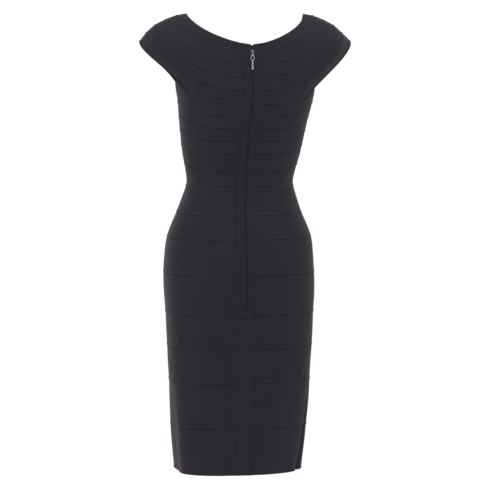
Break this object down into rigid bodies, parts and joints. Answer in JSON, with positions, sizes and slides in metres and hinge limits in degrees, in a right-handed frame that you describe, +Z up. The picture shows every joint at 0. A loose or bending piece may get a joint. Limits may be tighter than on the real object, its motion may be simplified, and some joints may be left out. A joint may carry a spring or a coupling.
{
  "type": "bodycon dress",
  "caption": "Knee length bodycon dress of knitted bands, with a wide scoop neck, cap sleeves and a centre back zip between two stitched strips, in its worn form.",
  "frame": {"origin": "midway between the tops of the two shoulders, where the wearer holds the dress up", "axes": "+Z up, +Y to the back of the dress where the zip is, +X to the wearer's left"},
  "size_m": [0.4479, 0.2257, 0.9665],
  "materials": {
    "knit": "dense rib knit, near black, with a slight sheen",
    "zip_tape": "woven black zip tape and nylon teeth",
    "zip_metal": "satin nickel"
  },
  "bodies": {
    "dress": {"yoke_band_1": "knit", "yoke_band_2": "knit", "yoke_band_3": "knit", "yoke_band_4": "knit", "yoke_band_5": "knit", "bodice_band_1": "knit", "bodice_band_2": "knit", "bodice_band_3": "knit", "bodice_band_4": "knit", "bodice_band_5": "knit", "bodice_band_6": "knit", "skirt_band_1": "knit", "skirt_band_2": "knit", "skirt_band_3": "knit", "skirt_band_4": "knit", "skirt_band_5": "knit", "skirt_band_6": "knit", "skirt_band_7": "knit", "skirt_band_8": "knit", "placket_strip_left": "knit", "placket_strip_right": "knit", "centre_back_strip": "knit", "placket_tack": "knit", "zip_tape_left": "zip_tape", "zip_tape_right": "zip_tape", "zip_chain": "zip_tape", "zip_slider": "zip_metal"},
    "pull": {"zip_pull": "zip_metal"}
  },
  "joints": [
    {"name": "pull_tab", "type": "hinge", "parent": "dress", "child": "pull", "pos_m": [0, 0.09973, -0.09364], "axis": [1, 0, 0], "range_deg": [0, 140]}
  ]
}
